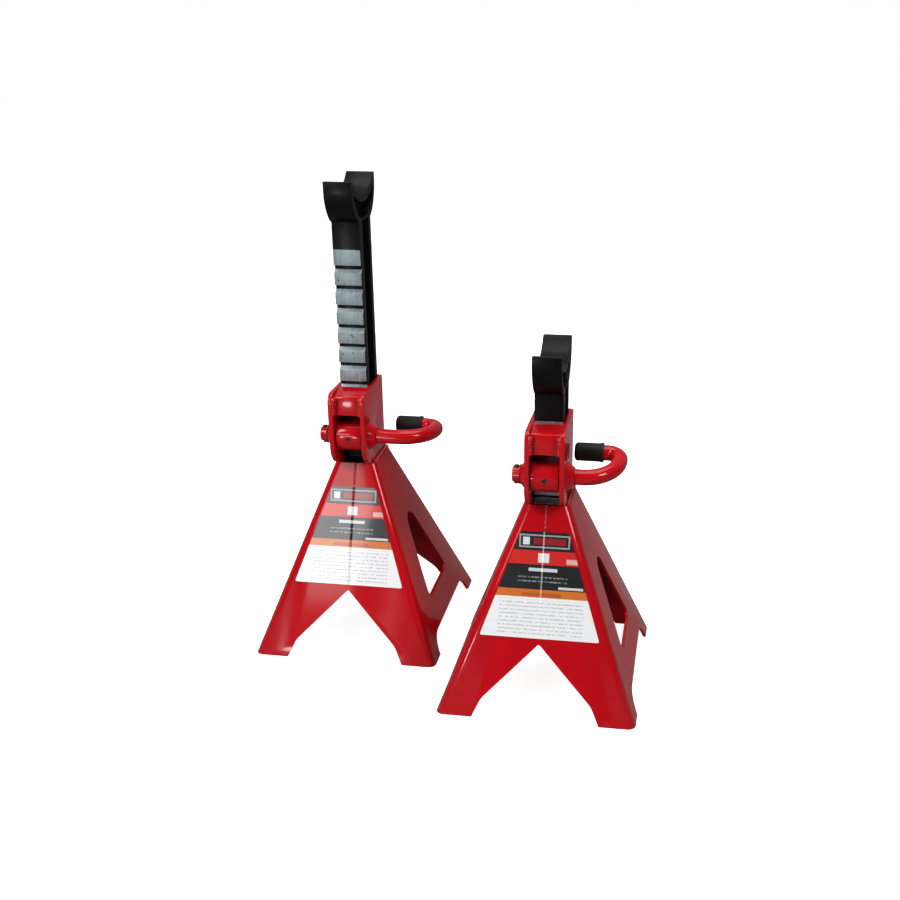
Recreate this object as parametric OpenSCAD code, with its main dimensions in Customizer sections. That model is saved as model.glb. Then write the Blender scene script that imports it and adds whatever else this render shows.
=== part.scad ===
// A pair of ratchet axle jack stands, each with a pressed four-legged base, a welded
// tower, a toothed column with a saddle, and a pawl on a bent lever.
// Each stand is drawn about its own centre line, front towards -Y, and then put in place.

/* [Pair] */
// Distance between the two stands, left to right
pair_x = 169.5; // [165:0.5:400]
// Distance between the two stands, front to back
pair_y = 68.5; // [0:0.5:200]
// Teeth that the left column is raised above its lowest position
left_steps = 7; // [0:1:9]
// Teeth that the right column is raised above its lowest position
right_steps = 0; // [0:1:9]

/* [Base] */
// Width of the footprint
base_w = 154.5; // [145:0.5:200]
// Depth of the footprint
base_d = 172.5; // [150:0.5:220]
// Height of the pressed base
base_h = 153; // [140:0.5:180]
// Thickness of the pressed plate
plate_t = 2.5; // [2:0.1:3]
// Outer radius of the four upright bends
bend_r = 6; // [5:0.5:8]
// Width of the weld that joins the two halves
seam_w = 1.6; // [1:0.1:3]

/* [Openings in the base] */
// Height of the front and rear notch
notch_z = 55; // [40:0.5:70]
// Height of the feet, where the notch turns steeper
foot_h = 13.4; // [8:0.2:20]
// Width of a foot on the front face
foot_w = 28.2; // [20:0.2:32]
// How far a foot widens from the floor to the turn
foot_flare = 6.5; // [2:0.5:10]
// Radius at the top of the notch
notch_r = 1.5; // [1:0.5:8]
// Height of the gap under the side plates
side_gap_h = 14.5; // [8:0.5:20]
// Width of a foot on the side face
side_foot_w = 23.2; // [18:0.2:30]
// Width of the arc between a side foot and the gap
side_foot_arc = 18; // [15:0.5:24]
// Bottom of the side window
window_z0 = 36.8; // [30:0.2:45]
// Top of the side window
window_z1 = 101.7; // [80:0.2:106]
// Width of the side window along its bottom
window_w = 62; // [40:0.5:70]
// Corner radius at the bottom of the side window
window_r0 = 6; // [3:0.5:9]
// Corner radius at the top of the side window
window_r1 = 11.5; // [5:0.5:13]

/* [Tower] */
// Top of the tower
tower_top = 217.5; // [210:0.5:230]
// Thickness of the two cheeks
cheek_t = 3.6; // [2.5:0.1:4.5]
// Thickness of the rear wall
rear_t = 3; // [2.5:0.1:4.5]
// Reach of the cheeks in front of the column's middle
cheek_front = 43; // [42:0.5:48]
// Radius at the top front corner of a cheek
cheek_r1 = 8; // [6:0.5:14]
// Radius at the lower front corner of a cheek
cheek_r0 = 19; // [10:0.5:20]
// Radius of the tower's rear bends
tower_bend_r = 4; // [3:0.5:5]
// Length of the tower inside the base
tang_h = 26; // [15:0.5:35]
// Length of the collar drawn out around the pivot on the lever's side
collar_h = 6.5; // [4:0.5:7]
// Length of the collar on the other side
end_collar_h = 4.2; // [3:0.1:5]
// Wall of a collar at its outer end
collar_wall = 1.2; // [1:0.1:1.5]
// Wall of a collar at the cheek
collar_root = 5.5; // [2.5:0.1:6]

/* [Cap plate] */
// Thickness of the cap plate
cap_t = 2.8; // [2:0.1:3.5]
// Reach of the cap plate's bend in front of the column's middle
cap_front = 37.5; // [34:0.5:38]
// Height of the cap plate's bend
cap_bend_z = 215; // [208:0.5:215.5]
// Lower edge of the cap plate
cap_z0 = 199.2; // [198:0.1:202]
// Extra reach of the lower edge
cap_lean = 1.5; // [0:0.5:2]
// Size of the weld beads beside the cap plate
cap_weld = 3.5; // [2:0.1:3.5]

/* [Column] */
// Height of the saddle at the lowest position
low_height = 272; // [268:0.5:285]
// Width of the cast column
column_w = 22; // [20:0.2:26]
// Depth of the cast column
column_d = 34.6; // [32:0.2:36]
// Thickness of the column's web
web_t = 8; // [5:0.5:12]
// Front flange, from the crest of a tooth to the side pocket
front_flange = 9.5; // [8:0.5:11]
// Rear flange
rear_flange = 7; // [5:0.5:9]
// Clearance between the column and the tower on each side
column_gap = 0.4; // [0.3:0.05:0.6]

/* [Teeth] */
// Distance from one tooth to the next
pitch = 15.7; // [14:0.1:16.5]
// Number of teeth
teeth = 11; // [11:1:11]
// Depth of the notch under a tooth
tooth_depth = 3.2; // [2.5:0.1:3.5]
// Height of the flat root of a notch
notch_h = 3.4; // [3.2:0.1:4]
// Height of the ramp on top of a tooth
ramp_h = 3.2; // [3:0.1:4]
// Tooth that the pawl holds at the lowest position, counted from 0 at the top
held_tooth = 1; // [1:1:1]
// Plain length below the last notch
tail_h = 16; // [8:0.5:18]

/* [Saddle] */
// Length of the saddle, front to back
saddle_len = 67.6; // [60:0.2:76]
// Depth of the crescent
saddle_dip = 13; // [8:0.5:16]
// Height of the horns
horn_h = 32; // [28:0.5:36]
// Upright part of a horn's outer face
horn_lip = 6; // [3:0.5:8]
// Flat on top of a horn
horn_flat = 3.8; // [2:0.2:6]
// Step under a horn
horn_step = 1.5; // [0.5:0.1:3]
// Rim around the saddle's side pocket
saddle_rim = 5.5; // [4:0.5:7]

/* [Pawl] */
// Height of the pivot
pivot_z = 179.5; // [178:0.1:181]
// Distance of the pivot in front of the column's middle
pivot_y = 28; // [27.5:0.1:29]
// Radius of the pawl's hub towards the column
hub_r = 9.5; // [9:0.1:9.8]
// Radius of the pawl's hub towards the front
hub_front_r = 12.5; // [10:0.1:12.8]
// Width of the pawl
pawl_w = 20.4; // [18:0.2:20.8]
// Height of the nose's top face over the pivot when it holds a tooth
nose_z = 8.2; // [7.5:0.1:8.2]
// Reach of the nose behind the pivot when it holds a tooth
nose_y = 12.8; // [12.6:0.1:12.8]
// Angle from holding a tooth to just clear of the teeth
clear_angle = 16; // [16:0.5:18]
// Drop of the column before a tooth rests on the nose, which lets the nose swing in
seat_gap = 2.8; // [2.8:0.05:3]

/* [Lever] */
// Radius of the lever's rod
rod_r = 6; // [5:0.1:6.3]
// Distance between the two legs of the handle
handle_d = 37; // [36.5:0.5:44]
// Middle radius of the bend after the leg that leaves the tower
near_bend_r = 26; // [18:0.5:26]
// Middle radius of the bend before the free leg
far_bend_r = 10; // [9:0.5:10.5]
// Left end of the rod, from the middle of the stand
rod_end = 25.6; // [25.6:0.1:30]
// Reach of the left stand's handle
left_reach = 64; // [55:0.5:75]
// Reach of the right stand's handle
right_reach = 53; // [52:0.5:75]
// Angle of the left stand's handle above the horizontal
left_tilt = -2; // [-8:0.5:12]
// Angle of the right stand's handle above the horizontal
right_tilt = 11.5; // [-6:0.5:12]
// Length of the handle's free leg beyond its bend
free_leg = 24; // [14:0.5:25]
// Length of the rubber grip
grip_len = 22.5; // [15:0.5:24]
// Running clearance around the rod
rod_gap = 0.06; // [0.03:0.01:0.09]
// Wall of the rubber grip
grip_wall = 1.2; // [1:0.1:2]
// Thickness of the grip's closed end
grip_end = 1.6; // [1:0.1:2]

/* [Small parts] */
// Radius of the pin through the pawl
pawl_pin_r = 2; // [1.5:0.1:2.5]
// Radius of the pin at the rod's left end
end_pin_r = 2.1; // [1.5:0.1:2.2]
// Length of the pin at the rod's left end
end_pin_l = 14.4; // [13:0.2:18]
// Outer radius of the washer beside the end pin
washer_r = 7.6; // [7:0.1:9]
// Thickness of the washer beside the end pin
washer_t = 0.8; // [0.8:0.1:1.6]
// Size of the welds around the tower's foot
foot_weld = 2.4; // [2:0.1:3]

/* [Label] */
// Lower edge of the label
label_z0 = 59; // [57:0.5:70]
// Upper edge of the label
label_z1 = 134.5; // [110:0.5:138]
// Distance from the label to the bends at its lower edge
label_margin0 = 2.2; // [0.5:0.1:12]
// Distance from the label to the bends at its upper edge
label_margin1 = 0.4; // [0.2:0.1:6]
// Thickness of the label
label_t = 0.3; // [0.1:0.05:0.5]

/* [Hidden] */

eps = 0.01;
past = 1;
round_fn = 96;
hull_fn = 32;
bend_flats = 6;

red = "#b3121c";
black = "#151617";
zinc = "#9aa3a8";
white = "#e9eaea";

// The tower wraps the column, and the base's mouth wraps the tower.
// mouth_gap also takes up the slant of the plate, which is thicker when measured level.
tower_in_w = column_w + 2 * column_gap;
tower_w = tower_in_w + 2 * cheek_t;
tower_back = column_d / 2 + column_gap + rear_t;
mouth_gap = 0.3;
slope_w = (base_w - tower_w - 2 * mouth_gap - 2 * plate_t) / 2 / base_h;
slope_d = (base_d - 2 * tower_back - 2 * mouth_gap - 2 * plate_t) / 2 / base_h;
lean_d = atan(slope_d);
cheek_lift = 2;
tang_front = tower_back - 3;

// The cap plate stops short of the teeth, and its weld stops short of its bend.
cap_gap = 0.3;
cap_weld_short = 1;

// Heights along the column, at its lowest position.
held_ledge = pivot_z + nose_z + seat_gap;
first_tooth = held_ledge + held_tooth * pitch + pitch - notch_h;
column_bottom = first_tooth - teeth * pitch - tail_h;
crest_y = -column_d / 2;
root_y = crest_y + tooth_depth;
horn_r = let (dx = saddle_len / 2 - column_d / 2 - horn_step, dz = horn_h - horn_lip)
    (dx * dx + dz * dz) / 2 / dx;
dip_half = saddle_len / 2 - horn_flat;
dip_r = (dip_half * dip_half + saddle_dip * saddle_dip) / 2 / saddle_dip;
pocket_margin = 8;
pocket_z = column_bottom + pocket_margin;

// The pawl's nose is thinner than a notch, and its underside runs beside the ramp below it.
nose_t = notch_h - 1.4;
nose_taper = 0.6;
pin_back = hub_r - 0.5;
neck = [hub_r, nose_z - nose_t - (nose_y - nose_taper - hub_r) * ramp_h / tooth_depth];

// Gaps between pieces that are pressed or drawn together, and play beside those that turn.
bore_r = rod_r + rod_gap;
side_play = 0.2;
washer_x = tower_w / 2 + end_collar_h + side_play;
end_pin_x = washer_x + washer_t + side_play + end_pin_r;
small_gap = 0.02;
grip_gap = 0.05;

// ---------------------------------------------------------------- placing

module left_stand() translate([-pair_x / 2, pair_y / 2, 0]) children();

module right_stand() translate([pair_x / 2, -pair_y / 2, 0]) children();

module raised(steps) translate([0, 0, steps * pitch]) children();

// Puts a shape drawn about the X axis on the pivot.
module at_pivot() translate([0, -pivot_y, pivot_z]) children();

// Stands a flat shape, drawn front to back and upwards, across the given width.
module across(width) rotate([90, 0, 90]) translate([0, 0, -width / 2])
    linear_extrude(width) children();

// Points along an arc, one every ten degrees or so.
function arc(middle, r, from, to) = let (steps = ceil(abs(to - from) / 10))
    [for (i = [0 : steps]) let (a = from + (to - from) * i / steps) middle + r * [cos(a), sin(a)]];

// Takes a corner off a flat shape: a square with its inner side rounded.
module corner_cut(corner, into, r) {
    translate([corner[0] + into[0] * r, corner[1] + into[1] * r]) difference() {
        translate([-into[0] * (r + past) / 2, -into[1] * (r + past) / 2])
            square(r + past, center = true);
        circle(r, $fn = round_fn);
    }
}

// ---------------------------------------------------------------- base

// Distance from the middle to the block's face that looks along the given heading, at height z.
function face_reach(heading, z) =
    (base_w / 2 - slope_w * z - bend_r) * cos(heading)
    + (base_d / 2 - slope_d * z - bend_r) * sin(heading) + bend_r;

// Horizontal thickness of the plate in that face.
function face_wall(heading) = plate_t / cos(atan(slope_w * cos(heading) + slope_d * sin(heading)));

// Block between the two sloping faces that look along a heading and away from it.
module face_pair(heading, turn, inset, z0, z1) {
    near = face_reach(heading, z0) - inset * face_wall(heading);
    far = face_reach(heading, z1) - inset * face_wall(heading);
    rotate([90, 0, turn]) linear_extrude(2 * (base_w + base_d), center = true)
        polygon([[-near, z0], [near, z0], [far, z1], [-far, z1]]);
}

// Four-sided block that tapers from the floor up, its upright corners rounded in flats.
// inset is 0 for the plate's outer face and 1 for its inner face.
module tapered_block(inset, z0, z1) {
    intersection_for (heading = [0 : 90 / bend_flats : 90], s = [-1, 1])
        face_pair(heading, s * heading, inset, z0, z1);
}

module notch_outline() {
    inner_foot = base_w / 2 - foot_w;
    turn = inner_foot - foot_flare;
    half_angle = atan(turn / (notch_z - foot_h));
    middle = [0, notch_z - notch_r / sin(half_angle)];
    reach = inner_foot + foot_flare * past / foot_h;
    polygon(concat(
        [[-turn, foot_h], [-reach, -past], [reach, -past], [turn, foot_h]],
        arc(middle, notch_r, half_angle, 180 - half_angle)
    ));
}

module side_gap_outline() {
    straight = base_d / 2 - side_foot_w - side_foot_arc;
    arc_r = (side_foot_arc * side_foot_arc + side_gap_h * side_gap_h) / 2 / side_gap_h;
    drop = side_gap_h - arc_r;
    floor_angle = asin((-past - drop) / arc_r);
    polygon(concat(
        arc([straight, drop], arc_r, floor_angle, 90),
        arc([-straight, drop], arc_r, 90, 180 - floor_angle)
    ));
}

module window_outline() {
    hull() {
        translate([0, window_z1 - window_r1]) circle(window_r1, $fn = hull_fn);
        for (s = [-1, 1]) translate([s * (window_w / 2 - window_r0), window_z0 + window_r0])
            circle(window_r0, $fn = hull_fn);
    }
}

// The whole pressed shell: the two halves and the seams are cut from it.
module base_shell() {
    difference() {
        tapered_block(0, 0, base_h);
        tapered_block(1, -past, base_h + past);
        translate([0, base_d / 2 + past, 0]) rotate([90, 0, 0])
            linear_extrude(base_d + 2 * past) notch_outline();
        across(base_w + 2 * past) window_outline();
        across(base_w + 2 * past) side_gap_outline();
    }
}

// side is -1 for the left half and 1 for the right half.
module base_half(side) {
    reach = base_w / 2 + past;
    color(red) intersection() {
        base_shell();
        translate([side > 0 ? seam_w / 2 : -seam_w / 2 - reach, -base_d / 2 - past, -past])
            cube([reach, base_d + 2 * past, base_h + 2 * past]);
    }
}

// face is -1 for the front seam and 1 for the rear seam.
module seam(face) {
    reach = base_d / 2 + past;
    color(red) intersection() {
        base_shell();
        translate([-seam_w / 2, face > 0 ? 0 : -reach, -past]) cube([seam_w, reach, base_h + 2 * past]);
    }
}

// ---------------------------------------------------------------- tower

module cheek_outline() {
    difference() {
        union() {
            translate([-cheek_front, base_h + cheek_lift])
                square([cheek_front + tower_back, tower_top - base_h - cheek_lift]);
            translate([-tang_front, base_h - tang_h])
                square([tang_front + tower_back, tang_h + cheek_lift + eps]);
        }
        corner_cut([-cheek_front, tower_top], [1, -1], cheek_r1);
        corner_cut([-cheek_front, base_h + cheek_lift], [1, 1], cheek_r0);
    }
}

module collar(side, length) {
    at_pivot() translate([side * (tower_w / 2 - eps), 0, 0]) rotate([0, side * 90, 0])
        cylinder(h = length, r1 = bore_r + collar_root, r2 = bore_r + collar_wall, $fn = round_fn);
}

// Rounds the two upright bends at the tower's back.
module tower_bends() {
    translate([0, 0, base_h - tang_h - past]) linear_extrude(tower_top - base_h + tang_h + 2 * past)
        for (s = [-1, 1]) corner_cut([s * tower_w / 2, tower_back], [-s, -1], tower_bend_r);
}

module tower() {
    color(red) difference() {
        union() {
            for (s = [-1, 1]) translate([s * (tower_in_w + cheek_t) / 2, 0, 0])
                across(cheek_t) cheek_outline();
            translate([-tower_w / 2, tower_back - rear_t, base_h - tang_h])
                cube([tower_w, rear_t, tower_top - base_h + tang_h]);
            collar(-1, end_collar_h);
            collar(1, collar_h);
        }
        at_pivot() rotate([0, 90, 0])
            cylinder(h = tower_w + 2 * collar_h + 2 * past, r = bore_r, center = true, $fn = round_fn);
        tower_bends();
    }
}

module cap_plate() {
    back = crest_y - 2 * column_gap - cap_gap;
    bend = [-cap_front, cap_bend_z];
    edge = [-cap_front - cap_lean, cap_z0];
    half_turn = (90 - atan((tower_top - cap_bend_z) / (back + cap_front))) / 2;
    color(red) across(tower_in_w) polygon([
        [back, tower_top], bend, edge, edge + [cap_t, 0],
        bend + [cap_t, -cap_t * tan(half_turn)], [back, tower_top - cap_t]
    ]);
}

// Beads in the corners between the cap plate and the cheeks.
module cap_welds() {
    color(red) for (s = [-1, 1]) translate([s * tower_in_w / 2, -cap_front - cap_lean, cap_z0])
        linear_extrude(cap_bend_z - cap_z0 - cap_weld_short) intersection() {
            circle(cap_weld, $fn = round_fn);
            translate([s > 0 ? -cap_weld : 0, -cap_weld]) square(cap_weld);
        }
}

// Fillets between the mouth of the base and the tower, on both sides and at the back.
module foot_welds() {
    fillet = [[0, 0], [foot_weld, 0], [0, foot_weld]];
    color(red) {
        for (s = [0, 1]) mirror([s, 0, 0]) translate([tower_w / 2, tower_back - tower_bend_r, base_h])
            rotate([90, 0, 0]) linear_extrude(2 * tower_back - tower_bend_r) polygon(fillet);
        translate([-tower_w / 2 + tower_bend_r, tower_back, base_h])
            rotate([90, 0, 90]) linear_extrude(tower_w - 2 * tower_bend_r) polygon(fillet);
    }
}

module label() {
    bottom = base_w / 2 - slope_w * label_z0 - bend_r - label_margin0;
    top = base_w / 2 - slope_w * label_z1 - bend_r - label_margin1;
    z0 = label_z0 / cos(lean_d);
    z1 = label_z1 / cos(lean_d);
    color(white) translate([0, -base_d / 2 - eps, 0]) rotate([90 - lean_d, 0, 0])
        linear_extrude(label_t) polygon([[-bottom, z0], [bottom, z0], [top, z1], [-top, z1]]);
}

// ---------------------------------------------------------------- column

// Front edge of the column from the top tooth down, as points.
function tooth_edge(k) = let (top = first_tooth - k * pitch, ledge = top - pitch + notch_h)
    [[crest_y, top - (k > 0 ? ramp_h : 0)], [crest_y, ledge], [root_y, ledge], [root_y, ledge - notch_h]];

module bar_outline() {
    front = [for (k = [0 : teeth - 1]) each tooth_edge(k)];
    last = first_tooth - teeth * pitch;
    polygon(concat(
        [[column_d / 2, column_bottom], [column_d / 2, low_height - horn_h + eps],
         [crest_y, low_height - horn_h + eps]],
        front,
        [[crest_y, last - ramp_h], [crest_y, column_bottom]]
    ));
}

// One horn with its outer face inset, before the crescent is taken out.
module horn_outline(inset) {
    middle = [saddle_len / 2 - horn_r, low_height - horn_lip];
    translate([0, low_height - horn_lip]) square([saddle_len / 2 - inset, horn_lip]);
    intersection() {
        translate(middle) circle(horn_r - inset, $fn = round_fn);
        translate([0, low_height - horn_h]) square([saddle_len / 2, horn_h - horn_lip + eps]);
    }
}

module saddle_outline(inset) {
    difference() {
        for (s = [0, 1]) mirror([s, 0]) horn_outline(inset);
        translate([0, low_height - saddle_dip + dip_r]) circle(dip_r + inset, $fn = round_fn);
    }
}

module pocket_outline() {
    saddle_outline(saddle_rim);
    translate([crest_y + front_flange, pocket_z])
        square([column_d - front_flange - rear_flange, low_height - horn_h - pocket_z + eps]);
}

module column() {
    pocket = (column_w - web_t) / 2;
    color(black) difference() {
        across(column_w) union() {
            bar_outline();
            saddle_outline(0);
        }
        for (s = [-1, 1]) translate([s * (column_w - pocket + past) / 2, 0, 0])
            across(pocket + past) pocket_outline();
    }
}

// ---------------------------------------------------------------- pawl and lever

// The pawl's side view about the pivot, holding a tooth.
// The hub is wider towards the front, and its wide part stays clear of the column as it swings.
module pawl_outline() {
    polygon(concat(
        [[nose_y, nose_z], [nose_y - nose_taper, nose_z - nose_t], neck],
        arc([0, 0], hub_r, 0, -60),
        arc([0, 0], hub_front_r, -90, -250)
    ));
}

module pawl_pin_shape(gap) rotate([90, 0, 0])
    cylinder(h = 4 * hub_front_r, r = pawl_pin_r + gap, center = true, $fn = round_fn);

module pawl() {
    color(red) at_pivot() difference() {
        rotate([clear_angle, 0, 0]) across(pawl_w) pawl_outline();
        rotate([0, 90, 0])
            cylinder(h = pawl_w + 2 * past, r = rod_r + small_gap, center = true, $fn = round_fn);
        pawl_pin_shape(small_gap);
    }
}

module pawl_pin() {
    color(zinc) at_pivot() rotate([90, 0, 0]) translate([0, 0, -pin_back])
        cylinder(h = pin_back + hub_front_r, r = pawl_pin_r, $fn = round_fn);
}

module end_pin_shape(length, gap) translate([-end_pin_x, 0, 0])
    cylinder(h = length, r = end_pin_r + gap, center = true, $fn = round_fn);

// A quarter turn of the rod in the X-Y plane, from the +X end of a leg.
module quarter_bend(turn, middle_r) rotate([0, 0, turn]) rotate_extrude(angle = 90, $fn = round_fn)
    translate([middle_r, 0]) circle(rod_r, $fn = round_fn);

module rod_along_x(x0, x1) translate([x0, 0, 0]) rotate([0, 90, 0])
    cylinder(h = x1 - x0, r = rod_r, $fn = round_fn);

// The bent rod, in the plane of its handle and about the pivot.
module bent_rod(reach) {
    near_x = reach - near_bend_r;
    far_x = reach - far_bend_r;
    rod_along_x(-rod_end, near_x);
    translate([near_x, near_bend_r, 0]) quarter_bend(-90, near_bend_r);
    translate([reach, near_bend_r, 0]) rotate([-90, 0, 0])
        cylinder(h = handle_d - near_bend_r - far_bend_r, r = rod_r, $fn = round_fn);
    translate([far_x, handle_d - far_bend_r, 0]) quarter_bend(0, far_bend_r);
    translate([0, handle_d, 0]) rod_along_x(far_x - free_leg, far_x);
}

module lever_rod(reach, tilt) {
    color(red) at_pivot() difference() {
        rotate([tilt, 0, 0]) bent_rod(reach);
        pawl_pin_shape(small_gap);
        end_pin_shape(2 * rod_r + 2 * past, small_gap);
    }
}

module grip(reach, tilt) {
    end_x = reach - far_bend_r - free_leg;
    color(black) at_pivot() rotate([tilt, 0, 0]) translate([end_x - grip_end, handle_d, 0])
        rotate([0, 90, 0]) difference() {
            cylinder(h = grip_len, r = rod_r + grip_wall, $fn = round_fn);
            translate([0, 0, grip_end]) cylinder(h = grip_len, r = rod_r + grip_gap, $fn = round_fn);
        }
}

module end_pin() color(zinc) at_pivot() end_pin_shape(end_pin_l, 0);

module washer() {
    color(zinc) at_pivot() translate([-washer_x - washer_t, 0, 0]) rotate([0, 90, 0]) difference() {
        cylinder(h = washer_t, r = washer_r, $fn = round_fn);
        translate([0, 0, -past]) cylinder(h = washer_t + 2 * past, r = bore_r, $fn = round_fn);
    }
}

// ---------------------------------------------------------------- nodes

left_stand() base_half(1);  // left_base_near
left_stand() base_half(-1);  // left_base_far
left_stand() seam(-1);  // left_front_seam
left_stand() seam(1);  // left_rear_seam
left_stand() tower();  // left_tower
left_stand() cap_plate();  // left_cap_plate
left_stand() cap_welds();  // left_cap_welds
left_stand() foot_welds();  // left_foot_welds
left_stand() label();  // left_label
left_stand() raised(left_steps) column();  // left_column
left_stand() pawl();  // left_pawl
left_stand() lever_rod(left_reach, left_tilt);  // left_lever_rod
left_stand() grip(left_reach, left_tilt);  // left_grip
left_stand() pawl_pin();  // left_pawl_pin
left_stand() end_pin();  // left_end_pin
left_stand() washer();  // left_washer

right_stand() base_half(1);  // right_base_near
right_stand() base_half(-1);  // right_base_far
right_stand() seam(-1);  // right_front_seam
right_stand() seam(1);  // right_rear_seam
right_stand() tower();  // right_tower
right_stand() cap_plate();  // right_cap_plate
right_stand() cap_welds();  // right_cap_welds
right_stand() foot_welds();  // right_foot_welds
right_stand() label();  // right_label
right_stand() raised(right_steps) column();  // right_column
right_stand() pawl();  // right_pawl
right_stand() lever_rod(right_reach, right_tilt);  // right_lever_rod
right_stand() grip(right_reach, right_tilt);  // right_grip
right_stand() pawl_pin();  // right_pawl_pin
right_stand() end_pin();  // right_end_pin
right_stand() washer();  // right_washer
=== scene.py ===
"""Looks of a pair of ratchet axle jack stands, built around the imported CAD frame.

Lengths are in metres, written as a number of millimetres times MM.
Each stand is modelled about its own middle, which is read from the frame.
"""

import math
import random
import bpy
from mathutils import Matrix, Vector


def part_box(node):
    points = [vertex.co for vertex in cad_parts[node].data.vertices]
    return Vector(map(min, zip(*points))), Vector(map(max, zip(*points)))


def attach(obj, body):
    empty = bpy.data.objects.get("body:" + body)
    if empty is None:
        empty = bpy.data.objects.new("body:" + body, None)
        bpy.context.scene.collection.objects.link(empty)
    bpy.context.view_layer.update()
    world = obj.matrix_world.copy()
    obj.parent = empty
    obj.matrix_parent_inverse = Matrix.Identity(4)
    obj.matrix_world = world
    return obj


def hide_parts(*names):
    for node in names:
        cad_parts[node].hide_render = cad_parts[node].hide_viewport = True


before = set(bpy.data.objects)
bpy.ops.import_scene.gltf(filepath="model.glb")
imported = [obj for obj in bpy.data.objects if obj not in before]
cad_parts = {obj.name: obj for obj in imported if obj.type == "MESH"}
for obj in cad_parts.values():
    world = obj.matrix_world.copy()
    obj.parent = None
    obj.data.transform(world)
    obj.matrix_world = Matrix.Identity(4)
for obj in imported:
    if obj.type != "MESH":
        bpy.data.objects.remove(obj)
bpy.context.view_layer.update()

from types import SimpleNamespace

import bmesh
import bpy
from mathutils import Matrix, Vector

MM = 0.001
X, Y, Z = Vector((1, 0, 0)), Vector((0, 1, 0)), Vector((0, 0, 1))

# The base, where the frame's boxes don't give a size.
PLATE = 2.5 * MM            # thickness of its pressed plate
BEND = 6 * MM               # outer radius of its upright bends
MOUTH_GAP = 0.3 * MM        # between its mouth and the tower
FOOT = 28.2 * MM            # width of a foot on the front face
FOOT_FLARE = 6.5 * MM       # how far a foot widens up to the turn of the notch
FOOT_HIGH = 13.4 * MM       # height of that turn
NOTCH_TOP = 55 * MM         # height of the notch between the feet
NOTCH_TIP = 0.6 * MM        # half width of its tip before it is rounded
NOTCH_BEND = 3 * MM         # rounding of its turn
WINDOW = (36.8 * MM, 101.7 * MM)            # bottom and top of a side window
WINDOW_HALF = (33.9 * MM, 7.77 * MM)        # half its width there
WINDOW_BEND = 9 * MM        # rounding of its lower corners
GAP_HALF = 63.05 * MM       # half the length of the gap under a side plate
GAP_HIGH = 14.5 * MM        # height of that gap
CUT_PAST = 10 * MM          # how far a cutter reaches past the sides of the base
CUT_BELOW = 4 * MM          # how far the gap's cutter reaches below the floor

# The tower and its cap plate.
CHEEK = 3.6 * MM            # thickness of a cheek
CAP_LEAN = 1.5 * MM         # how far the cap plate's lower edge is in front of its bend

# The lever: its rod, its pins and the rubber grip.
ROD = 6 * MM                # radius of the rod
ROD_LEFT = 25.6 * MM        # its left end, from the middle of the stand
NEAR_BEND = 26 * MM         # middle radius of the bend after the leg that leaves the tower
FAR_BEND = 10 * MM          # middle radius of the bend before the free leg
HANDLE = 37 * MM            # between the two legs
FREE_LEG = 24 * MM          # length of the free leg
LEVERS = {"left": (64 * MM, -2), "right": (53 * MM, 11.5)}     # reach, and degrees above level
GRIP = 22.5 * MM            # length of the grip
GRIP_END = 1.6 * MM         # thickness of its closed end
GRIP_WALL = 1.2 * MM        # thickness of its wall
GRIP_LIP = 2.4 * MM         # length of the thick lip at its open end
LIP_STEP = 0.3 * MM         # length over which it widens to the lip
LIP_FLARE = 1.06            # radius of the lip, in radii of the sleeve
GRIP_DOME = 3 * MM          # rounding of the closed end
PIN_BORES = {"pawl_pin": 1.1 * MM, "end_pin": 1.0 * MM}        # radius of the hollow in a pin's end
PIN_BORE_DEEP = 1.2 * MM

# The column.
CREST = 17.3 * MM           # from its middle to the crests of its teeth
PITCH = 15.7 * MM           # from one tooth to the next
TOOTH = 3.2 * MM            # depth of a tooth
TEETH = 11
BRIGHT_TEETH_ABOVE_SHADE = 8            # teeth from the top down that the pawl has rubbed bright; the worn teeth below stay black as painted shade inside the tower
TAIL = 16 * MM              # plain length below the last tooth

# The label.
LABEL_Z = (59 * MM, 134.5 * MM)             # its bottom and top
LABEL_MARGIN = 1.8 * MM     # how much less it narrows than the plate does
LABEL_CORNER = 1.6 * MM     # rounding of its corners
LABEL_OUT = 0.42 * MM       # from the plate to its outer face
FILM = 0.2 * MM             # thickness of its film
RIDGE = 1.2 * MM            # half width of the ridge that the seam raises in it
RIDGE_RISE = 0.6            # height of that ridge, in units of LABEL_OUT

# Weld beads: width, height and the distance between two puddles.
SEAM_BEAD = (2.6 * MM, 0.6 * MM, 2.0 * MM)
CAP_BEAD = (4.8 * MM, 3.0 * MM, 2.6 * MM)
FOOT_BEAD = (3.4 * MM, 1.5 * MM, 2.2 * MM)
SEAM_SUNK = 0.35 * MM       # how far the seam beads sit in the plate

# How far the edges of each kind of piece are rounded.
SHEARED = 0.5 * MM
BENT = 0.7 * MM
CAST = 0.6 * MM
TURNED = 0.25 * MM
MOULDED = 0.4 * MM

# Edges sharper than these stay crisp in the shading, and are rounded where the piece is.
CREASE = math.radians(35)
BEAD_CREASE = math.radians(60)
FILM_CREASE = math.radians(5)

ALONG = 0.9                 # a normal or an edge counts as along an axis above this share
CLOSE = 0.1 * MM            # corners this near to a plane count as lying on it
BAR_SIDES = 40
PIN_SIDES = 32


# ---------------------------------------------------------------- working with pieces


def leave_all():
    """Deselects everything, so that an operator acts only on what is picked next."""
    bpy.ops.object.select_all(action="DESELECT")


def pick(piece):
    """Makes one piece the active one and the only one selected."""
    leave_all()
    bpy.context.view_layer.objects.active = piece
    piece.select_set(True)


def settled(name):
    """Names the new primitive and puts its place into its mesh."""
    piece = bpy.context.object
    piece.name = piece.data.name = name
    bpy.ops.object.transform_apply(location=True, rotation=True, scale=True)
    return piece


def block(name, low, high):
    """A box between two corners."""
    low, high = Vector(low), Vector(high)
    leave_all()
    bpy.ops.mesh.primitive_cube_add(size=1, location=(low + high) / 2, scale=high - low)
    return settled(name)


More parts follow.
